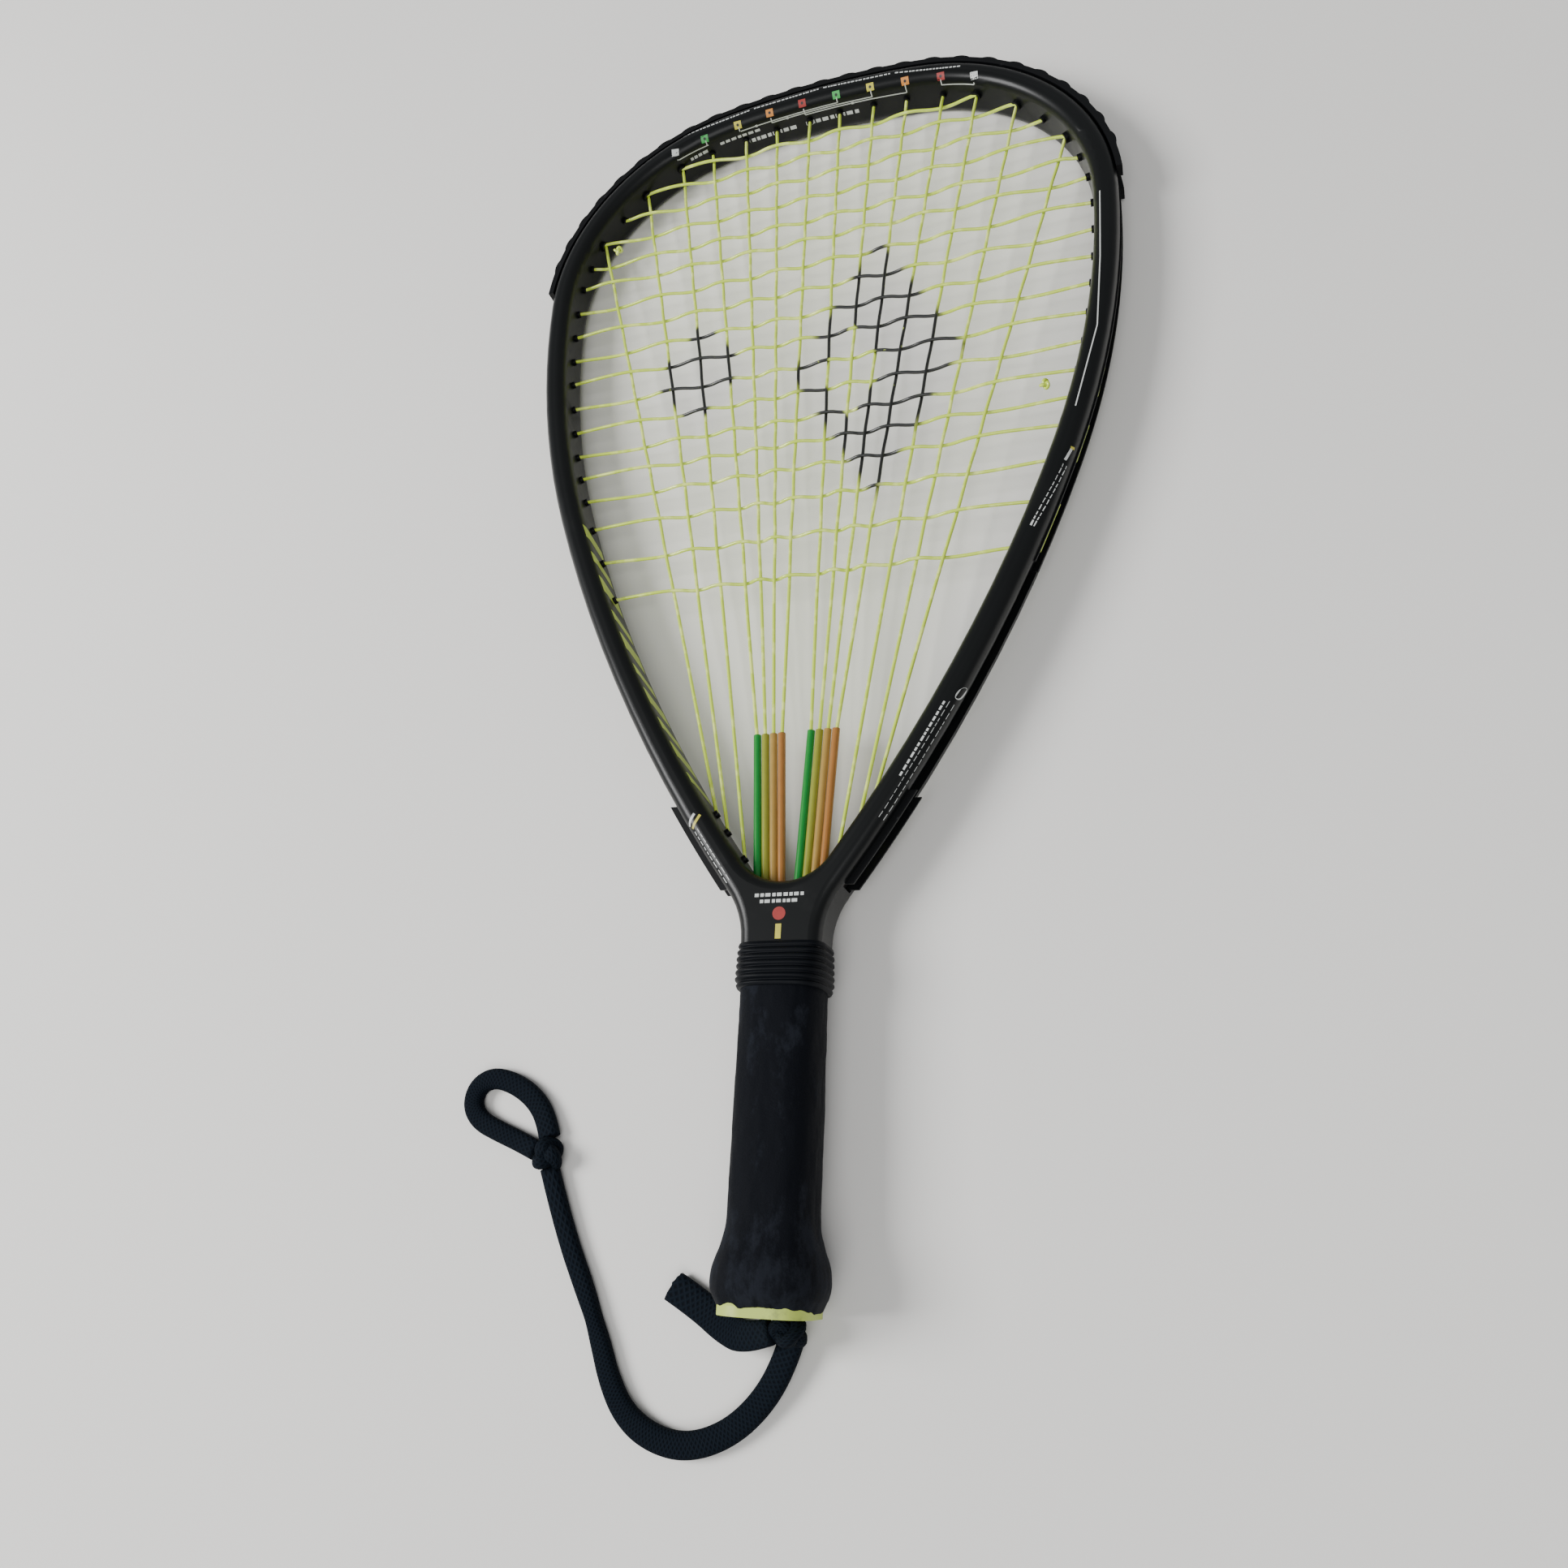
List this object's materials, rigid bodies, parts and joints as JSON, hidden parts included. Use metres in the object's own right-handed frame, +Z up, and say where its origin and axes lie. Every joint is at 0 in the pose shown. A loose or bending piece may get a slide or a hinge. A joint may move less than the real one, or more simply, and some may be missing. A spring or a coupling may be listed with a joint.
{
  "type": "racquetball racket",
  "caption": "Racquetball racket with a teardrop frame, woven strings that run into the handle, head guard, wrapped grip and a knotted wrist cord.",
  "frame": {"origin": "middle of the racket's footprint on the surface it lies on, measured without the wrist cord", "axes": "+Y from the butt to the tip of the head, +Z up, out of the upper face of the strings; the string bed leans 0.8 degrees down towards the tip, because the racket rests on its grip flare and its head guard's end of the rim"},
  "size_m": [0.2766, 0.6054, 0.0364],
  "materials": {
    "carbon_lacquer": "satin lacquer over carbon fibre",
    "black_nylon": "moulded nylon, satin",
    "guard_nylon": "tough moulded nylon, matt, scuffed",
    "lime_string": "coated multifilament, glossy",
    "anchor_nylon": "machined nylon",
    "lime_plastic": "moulded plastic",
    "pallet_foam": "rigid foam",
    "grip_suede": "worn synthetic suede",
    "collar_rubber": "ribbed rubber",
    "cord_nylon": "braided nylon cord",
    "green_sleeve": "soft plastic tube",
    "yellow_sleeve": "soft plastic tube",
    "amber_sleeve": "soft plastic tube",
    "orange_sleeve": "soft plastic tube"
  },
  "bodies": {
    "root": {"butt_cap": "lime_plastic", "bypass_strip_left": "black_nylon", "bypass_strip_right": "black_nylon", "cord_end_knot": "cord_nylon", "cord_knot": "cord_nylon", "cord_loop": "cord_nylon", "cord_run": "cord_nylon", "cord_tail": "cord_nylon", "cross_strings_lower": "lime_string", "cross_strings_upper": "lime_string", "frame": "carbon_lacquer", "grip": "grip_suede", "handle_strings": "lime_string", "head_guard": "guard_nylon", "main_strings_long": "lime_string", "main_strings_outer": "lime_string", "pallet_lower": "pallet_foam", "pallet_upper": "pallet_foam", "rubber_collar": "collar_rubber", "side_strip_left": "black_nylon", "side_strip_right": "black_nylon", "sleeve_left_amber": "amber_sleeve", "sleeve_left_green": "green_sleeve", "sleeve_left_orange": "orange_sleeve", "sleeve_left_yellow": "yellow_sleeve", "sleeve_right_amber": "amber_sleeve", "sleeve_right_green": "green_sleeve", "sleeve_right_orange": "orange_sleeve", "sleeve_right_yellow": "yellow_sleeve", "string_anchor": "anchor_nylon", "string_loops": "lime_string"}
  },
  "joints": []
}
